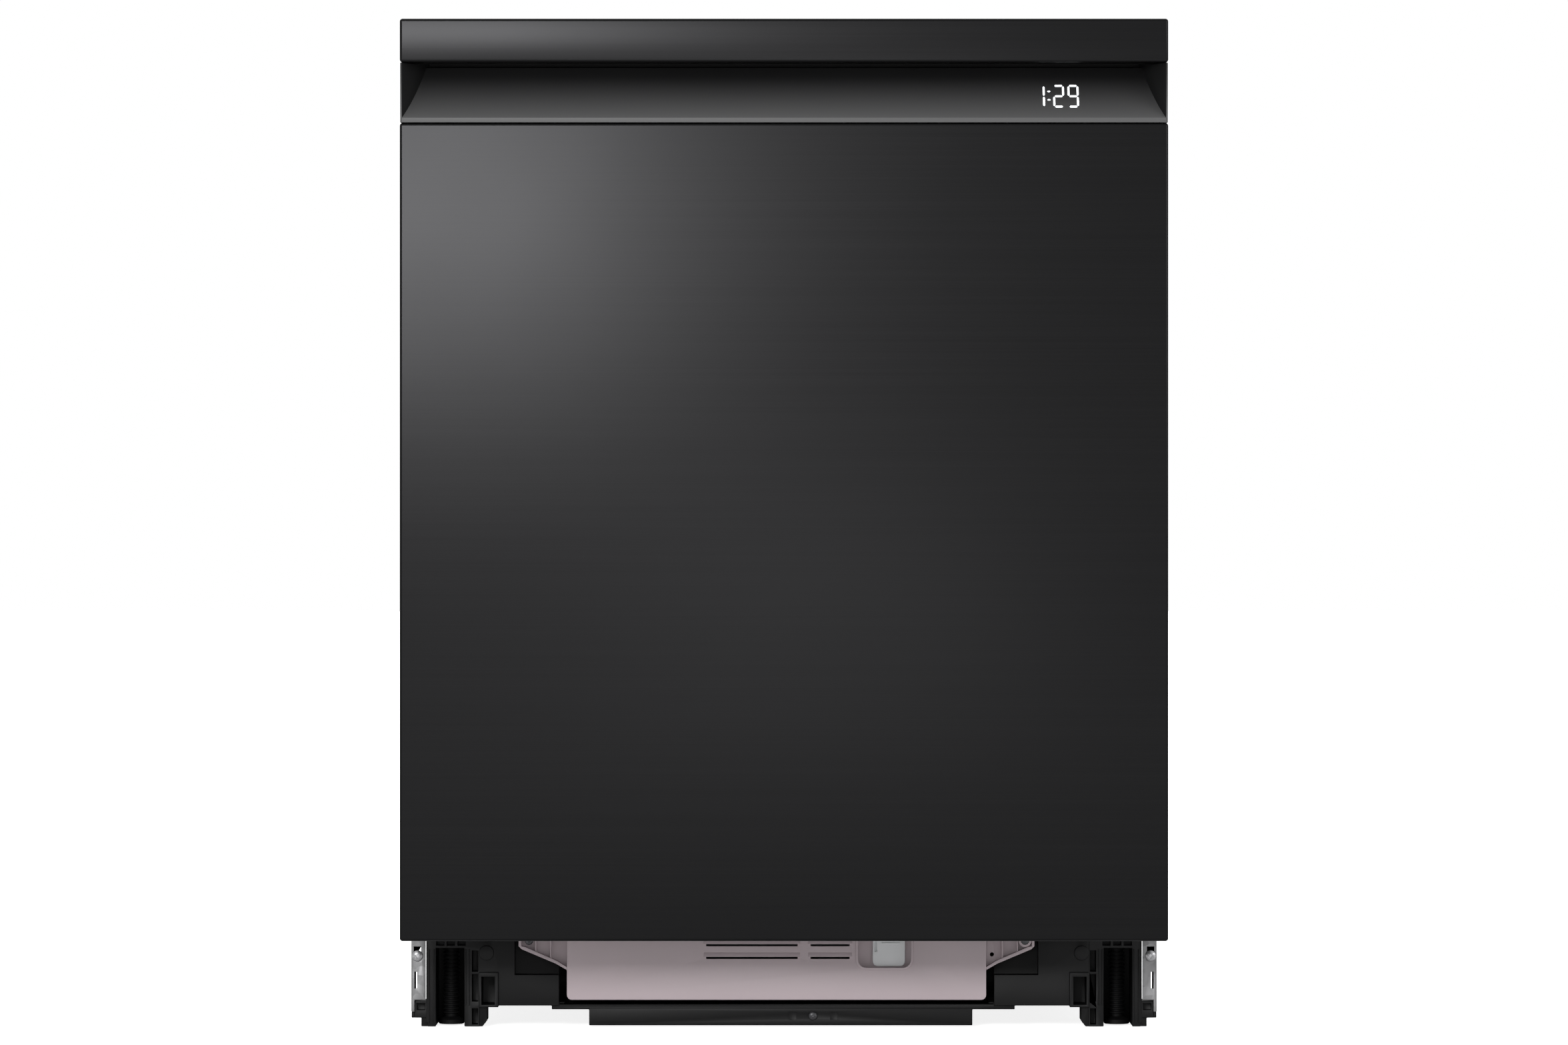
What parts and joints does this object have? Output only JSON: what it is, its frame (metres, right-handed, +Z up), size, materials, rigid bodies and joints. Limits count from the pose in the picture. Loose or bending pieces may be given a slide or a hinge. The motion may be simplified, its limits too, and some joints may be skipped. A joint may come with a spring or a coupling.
{
  "type": "built in dishwasher",
  "caption": "Built-in dishwasher with a drop-down door, recessed handle, pull-out racks, spray arms and a recessed base.",
  "frame": {"origin": "on the floor under the middle of the machine's box", "axes": "+X to the right seen from the room, +Y towards the wall behind, +Z up; the door faces -Y"},
  "size_m": [0.606, 0.628, 0.802],
  "materials": {
    "black_steel": "dark brushed stainless with a clear coat",
    "handle_plastic": "satin black moulding",
    "black_plastic": "matt black moulding",
    "gloss_black": "gloss black touch panel",
    "stainless": "brushed stainless steel",
    "zinc_steel": "galvanised steel",
    "screw_steel": "bright zinc plated",
    "mauve_plastic": "satin mauve-grey moulding",
    "grey_plastic": "satin grey moulding",
    "pale_grey": "pale grey clip",
    "white_plastic": "satin white moulding",
    "coated_wire": "nylon coated steel wire",
    "rubber": "soft black seal",
    "felt": "grey needled felt over bitumen",
    "blue_plastic": "blue turning cap"
  },
  "bodies": {
    "cabinet": {"tub": "stainless", "door_gasket": "rubber", "sound_blanket": "felt", "counter_bracket_left": "zinc_steel", "counter_bracket_right": "zinc_steel", "latch_strike": "zinc_steel", "base_pan": "black_plastic", "side_post_left": "zinc_steel", "side_post_right": "zinc_steel", "bracket_screw_left": "screw_steel", "bracket_screw_right": "screw_steel", "kick_plate_screw": "screw_steel", "service_cover": "mauve_plastic", "cover_latch": "pale_grey", "sump": "grey_plastic", "flat_filter": "stainless", "wash_pump": "white_plastic", "drain_pump": "grey_plastic", "inlet_valve": "white_plastic", "drain_spigot": "grey_plastic", "balance_spring_left": "zinc_steel", "balance_spring_right": "zinc_steel", "feed_tube": "grey_plastic", "upper_rail_left": "stainless", "upper_rail_right": "stainless", "tray_rail_left": "grey_plastic", "tray_rail_right": "grey_plastic"},
    "door": {"door_outer_panel": "black_steel", "door_top_fascia": "black_steel", "handle_pocket": "handle_plastic", "door_liner": "stainless", "control_panel": "gloss_black", "door_latch": "black_plastic", "dispenser_body": "grey_plastic", "hinge_arm_left": "zinc_steel", "hinge_arm_right": "zinc_steel"},
    "dispenser_lid": {"dispenser_lid": "white_plastic"},
    "rinse_cap": {"rinse_cap": "blue_plastic"},
    "upper_rack": {"upper_rack": "coated_wire", "rack_feed_tube": "grey_plastic"},
    "upper_sliders": {"upper_slider_left": "stainless", "upper_slider_right": "stainless"},
    "middle_spray_arm": {"middle_spray_arm": "grey_plastic"},
    "cutlery_tray": {"cutlery_tray": "coated_wire"},
    "lower_rack": {"lower_rack": "coated_wire", "fixed_tines_left": "coated_wire", "fixed_tines_right": "coated_wire"},
    "tine_row_left": {"tine_row_left": "coated_wire"},
    "tine_row_right": {"tine_row_right": "coated_wire"},
    "cutlery_basket": {"cutlery_basket": "grey_plastic"},
    "rack_wheel_front_left": {"rack_wheel_front_left": "grey_plastic"},
    "rack_wheel_front_right": {"rack_wheel_front_right": "grey_plastic"},
    "rack_wheel_rear_left": {"rack_wheel_rear_left": "grey_plastic"},
    "rack_wheel_rear_right": {"rack_wheel_rear_right": "grey_plastic"},
    "lower_spray_arm": {"lower_spray_arm": "grey_plastic"},
    "top_spray_arm": {"top_spray_arm": "grey_plastic"},
    "cylinder_filter": {"cylinder_filter": "grey_plastic"},
    "foot_front_left": {"foot_front_left": "black_plastic"},
    "foot_front_right": {"foot_front_right": "black_plastic"},
    "foot_rear": {"foot_rear": "black_plastic"}
  },
  "joints": [
    {"name": "door_hinge", "type": "hinge", "parent": "cabinet", "child": "door", "pos_m": [0, -0.264, 0.118], "axis": [1, 0, 0], "range_deg": [0, 90], "stiffness_Nm_per_rad": 21},
    {"name": "dispenser_lid_slide", "type": "slide", "parent": "door", "child": "dispenser_lid", "axis": [0, 0, 1], "range_m": [0, 0.085]},
    {"name": "rinse_cap_turn", "type": "hinge", "parent": "door", "child": "rinse_cap", "pos_m": [0.04, -0.268, 0.4325], "axis": [0, 1, 0], "range_deg": [0, 90]},
    {"name": "upper_rack_slide", "type": "slide", "parent": "cabinet", "child": "upper_rack", "axis": [0, -1, 0], "range_m": [0, 0.4501]},
    {"name": "upper_slider_slide", "type": "slide", "parent": "cabinet", "child": "upper_sliders", "axis": [0, -1, 0], "range_m": [0, 0.2251]},
    {"name": "cutlery_tray_slide", "type": "slide", "parent": "cabinet", "child": "cutlery_tray", "axis": [0, -1, 0], "range_m": [0, 0.4501]},
    {"name": "lower_rack_slide", "type": "slide", "parent": "cabinet", "child": "lower_rack", "axis": [0, -1, 0], "range_m": [0, 0.1415]},
    {"name": "rack_wheel_front_left_roll", "type": "hinge", "parent": "lower_rack", "child": "rack_wheel_front_left", "pos_m": [-0.262, -0.15, 0.1607], "axis": [1, 0, 0], "range_deg": [0, 427]},
    {"name": "rack_wheel_front_right_roll", "type": "hinge", "parent": "lower_rack", "child": "rack_wheel_front_right", "pos_m": [0.262, -0.15, 0.1607], "axis": [1, 0, 0], "range_deg": [0, 427]},
    {"name": "rack_wheel_rear_left_roll", "type": "hinge", "parent": "lower_rack", "child": "rack_wheel_rear_left", "pos_m": [-0.262, 0.19, 0.1607], "axis": [1, 0, 0], "range_deg": [0, 427]},
    {"name": "rack_wheel_rear_right_roll", "type": "hinge", "parent": "lower_rack", "child": "rack_wheel_rear_right", "pos_m": [0.262, 0.19, 0.1607], "axis": [1, 0, 0], "range_deg": [0, 427]},
    {"name": "tine_row_left_fold", "type": "hinge", "parent": "lower_rack", "child": "tine_row_left", "pos_m": [-0.08933, 0, 0.209], "axis": [0, -1, 0], "range_deg": [0, 90]},
    {"name": "tine_row_right_fold", "type": "hinge", "parent": "lower_rack", "child": "tine_row_right", "pos_m": [0.01133, 0, 0.209], "axis": [0, -1, 0], "range_deg": [0, 90]},
    {"name": "cutlery_basket_lift", "type": "slide", "parent": "lower_rack", "child": "cutlery_basket", "axis": [0, 0, 1], "range_m": [0, 0.14]},
    {"name": "middle_spray_arm_spin", "type": "hinge", "parent": "upper_rack", "child": "middle_spray_arm", "pos_m": [0, 0.0185, 0.484], "axis": [0, 0, 1], "continuous": true},
    {"name": "lower_spray_arm_spin", "type": "hinge", "parent": "cabinet", "child": "lower_spray_arm", "pos_m": [0, 0.0185, 0.165], "axis": [0, 0, 1], "continuous": true},
    {"name": "top_spray_arm_spin", "type": "hinge", "parent": "cabinet", "child": "top_spray_arm", "pos_m": [0, 0.0185, 0.77], "axis": [0, 0, 1], "continuous": true},
    {"name": "cylinder_filter_turn", "type": "hinge", "parent": "cabinet", "child": "cylinder_filter", "pos_m": [0.041, -0.0225, 0.11], "axis": [0, 0, 1], "range_deg": [0, 90]},
    {"name": "foot_front_left_screw_out", "type": "slide", "parent": "cabinet", "child": "foot_front_left", "axis": [0, 0, -1], "range_m": [0, 0.06]},
    {"name": "foot_front_right_screw_out", "type": "slide", "parent": "cabinet", "child": "foot_front_right", "axis": [0, 0, -1], "range_m": [0, 0.06]},
    {"name": "foot_rear_screw_out", "type": "slide", "parent": "cabinet", "child": "foot_rear", "axis": [0, 0, -1], "range_m": [0, 0.06]}
  ],
  "couplings": [
    {"joint": "upper_rack_slide", "follows": "door_hinge", "m_per_rad": 0.2865},
    {"joint": "upper_slider_slide", "follows": "door_hinge", "m_per_rad": 0.14325},
    {"joint": "cutlery_tray_slide", "follows": "door_hinge", "m_per_rad": 0.2865},
    {"joint": "lower_rack_slide", "follows": "door_hinge", "m_per_rad": 0.09},
    {"joint": "rack_wheel_front_left_roll", "follows": "door_hinge", "ratio": 4.7368},
    {"joint": "rack_wheel_front_right_roll", "follows": "door_hinge", "ratio": 4.7368},
    {"joint": "rack_wheel_rear_left_roll", "follows": "door_hinge", "ratio": 4.7368},
    {"joint": "rack_wheel_rear_right_roll", "follows": "door_hinge", "ratio": 4.7368}
  ]
}
